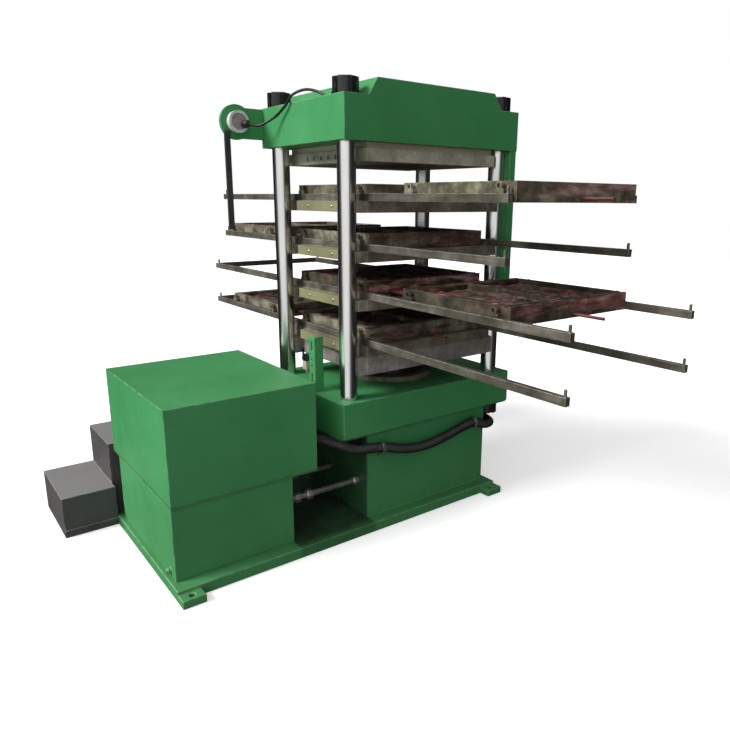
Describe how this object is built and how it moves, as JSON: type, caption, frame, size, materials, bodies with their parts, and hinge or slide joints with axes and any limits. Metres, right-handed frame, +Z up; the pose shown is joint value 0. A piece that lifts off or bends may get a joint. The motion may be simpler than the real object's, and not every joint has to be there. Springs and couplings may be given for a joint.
{
  "type": "vulcanizing press",
  "caption": "Column vulcanizing press for rubber tiles: an upstroke ram lifts stacked heated platens whose paired moulds slide out on rails; hydraulic power unit on a shared skid",
  "frame": {"origin": "on the floor under the ram axis", "axes": "X along the skid with the power unit at -X, Y along the mould rails with the operator's front at -Y, Z up"},
  "size_m": [2.046, 2.716, 1.973],
  "materials": {
    "green_paint": "semi gloss machine paint",
    "dark_green_paint": "semi gloss machine paint",
    "hard_chrome": "ground and hard chromed",
    "black_steel": "blackened steel",
    "machined_steel": "machined",
    "bronze": "bearing bronze, dull",
    "heat_board": "pressed fibre heat board",
    "platen_steel": "worn heated steel",
    "cream_paint": "cream painted sheet",
    "rail_steel": "bare, worn",
    "mould_steel": "scaled mould steel",
    "draw_steel": "rusty, with red residue",
    "motor_paint": "motor paint",
    "pump_iron": "cast",
    "coupling_steel": "painted",
    "pipe_steel": "zinc plated",
    "black_sleeve": "black sleeve",
    "white_plastic": "white housing",
    "dark_bar": "dark green paint",
    "switch_plastic": "cream housing",
    "black_lever": "black",
    "grey_paint": "grey paint"
  },
  "bodies": {
    "frame": {"base_plate": "green_paint", "bed_body": "green_paint", "bed_table": "green_paint", "main_cylinder": "machined_steel", "gland_ring": "bronze", "gland_screws": "black_steel", "columns": "hard_chrome", "column_nuts": "black_steel", "top_beam": "green_paint", "heat_board": "heat_board", "top_platen": "platen_steel", "oil_tank": "green_paint", "deck_plate": "green_paint", "power_hood": "green_paint", "pump_motor": "motor_paint", "hydraulic_pump": "pump_iron", "valve_block": "machined_steel", "pressure_pipe": "pipe_steel", "return_pipe": "pipe_steel", "cable_conduit": "black_sleeve", "conduit_fittings": "pipe_steel", "sensor_arm": "dark_green_paint", "encoder_disc": "white_plastic", "sensor_cable": "black_sleeve", "hanger_bar": "dark_bar", "limit_post": "green_paint", "limit_switch": "switch_plastic", "wiring_duct": "dark_green_paint", "operator_step": "grey_paint"},
    "drive_shaft": {"motor_coupling": "coupling_steel"},
    "switch_lever": {"limit_lever": "black_lever"},
    "ram_table": {"ram": "hard_chrome", "moving_table": "rail_steel", "platen_4": "platen_steel", "heater_cover_4": "cream_paint", "rails_4": "rail_steel"},
    "platen_1": {"platen_1": "platen_steel", "heater_cover_1": "cream_paint", "guide_shoes_1": "bronze", "rails_1": "rail_steel"},
    "platen_2": {"platen_2": "platen_steel", "heater_cover_2": "cream_paint", "guide_shoes_2": "bronze", "rails_2": "rail_steel"},
    "platen_3": {"platen_3": "platen_steel", "heater_cover_3": "cream_paint", "guide_shoes_3": "bronze", "rails_3": "rail_steel"},
    "mold_pair_1": {"mold_front_1": "mould_steel", "mold_rear_1": "mould_steel", "draw_gear_1": "draw_steel"},
    "mold_pair_2": {"mold_front_2": "mould_steel", "mold_rear_2": "mould_steel", "draw_gear_2": "draw_steel"},
    "mold_pair_3": {"mold_front_3": "mould_steel", "mold_rear_3": "mould_steel", "draw_gear_3": "draw_steel"},
    "mold_pair_4": {"mold_front_4": "mould_steel", "mold_rear_4": "mould_steel", "draw_gear_4": "draw_steel"}
  },
  "joints": [
    {"name": "ram_lift", "type": "slide", "parent": "frame", "child": "ram_table", "axis": [0, 0, 1], "range_m": [0, 0.352]},
    {"name": "platen_3_lift", "type": "slide", "parent": "frame", "child": "platen_3", "axis": [0, 0, 1], "range_m": [0, 0.264]},
    {"name": "platen_2_lift", "type": "slide", "parent": "frame", "child": "platen_2", "axis": [0, 0, 1], "range_m": [0, 0.176]},
    {"name": "platen_1_lift", "type": "slide", "parent": "frame", "child": "platen_1", "axis": [0, 0, 1], "range_m": [0, 0.088]},
    {"name": "mold_1_slide", "type": "slide", "parent": "platen_1", "child": "mold_pair_1", "axis": [0, 1, 0], "range_m": [0, 0.83]},
    {"name": "mold_2_slide", "type": "slide", "parent": "platen_2", "child": "mold_pair_2", "axis": [0, 1, 0], "range_m": [-0.83, 0]},
    {"name": "mold_3_slide", "type": "slide", "parent": "platen_3", "child": "mold_pair_3", "axis": [0, 1, 0], "range_m": [-0.25, 0.83]},
    {"name": "mold_4_slide", "type": "slide", "parent": "ram_table", "child": "mold_pair_4", "axis": [0, 1, 0], "range_m": [-0.83, 0.15]},
    {"name": "pump_drive_spin", "type": "hinge", "parent": "frame", "child": "drive_shaft", "pos_m": [-1.081, 0.105, 0.502], "axis": [0, 1, 0], "continuous": true},
    {"name": "limit_lever_swing", "type": "hinge", "parent": "frame", "child": "switch_lever", "pos_m": [-0.523, -0.0295, 0.78], "axis": [1, 0, 0], "range_deg": [-35, 35], "stiffness_Nm_per_rad": 0.4}
  ],
  "couplings": [
    {"joint": "platen_3_lift", "follows": "ram_lift", "ratio": 0.75},
    {"joint": "platen_2_lift", "follows": "ram_lift", "ratio": 0.5},
    {"joint": "platen_1_lift", "follows": "ram_lift", "ratio": 0.25}
  ]
}
